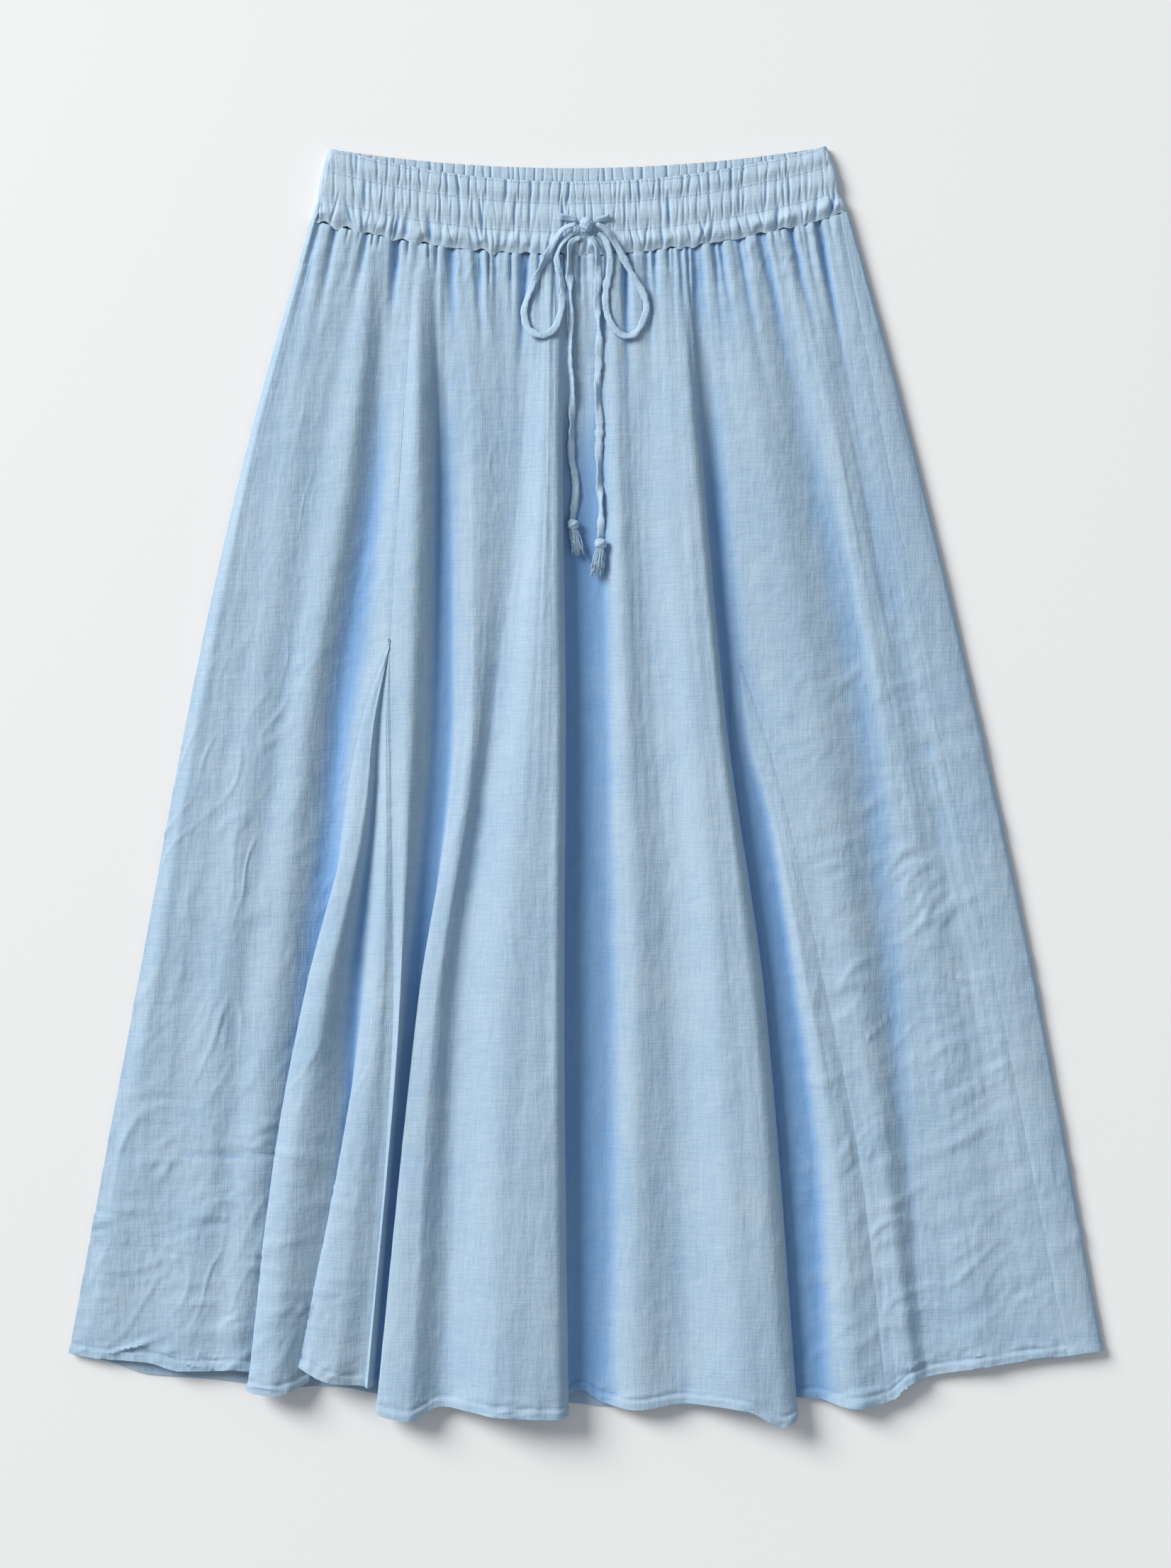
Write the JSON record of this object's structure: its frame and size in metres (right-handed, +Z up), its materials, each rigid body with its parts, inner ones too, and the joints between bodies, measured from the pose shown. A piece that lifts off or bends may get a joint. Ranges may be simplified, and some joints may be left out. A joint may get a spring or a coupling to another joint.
{
  "type": "maxi skirt",
  "caption": "Long flared gauze skirt laid flat, with a gathered elastic waistband, a tied drawstring, godets and deep soft folds.",
  "frame": {"origin": "on the surface that the skirt lies on, under the middle of its outline", "axes": "+X towards the right of the picture, +Y from hem to waist, +Z up from the surface through the front"},
  "size_m": [0.7429, 0.917, 0.024],
  "materials": {
    "cloth": "pale blue crinkled cotton gauze, matt",
    "waistband": "the same gauze gathered over elastic, matt",
    "drawstring": "turned gauze cord with frayed ends, matt"
  },
  "bodies": {
    "root": {"waistband": "waistband", "front_left_panel": "cloth", "front_centre_panel": "cloth", "front_right_panel": "cloth", "godet_left": "cloth", "godet_right": "cloth", "back_panel": "cloth", "bow_knot": "drawstring", "cord_exit_left": "drawstring", "cord_exit_right": "drawstring", "cord_loop_left": "drawstring", "cord_loop_right": "drawstring", "cord_tail_left": "drawstring", "cord_tail_right": "drawstring", "tassel_left": "drawstring", "tassel_right": "drawstring"}
  },
  "joints": []
}
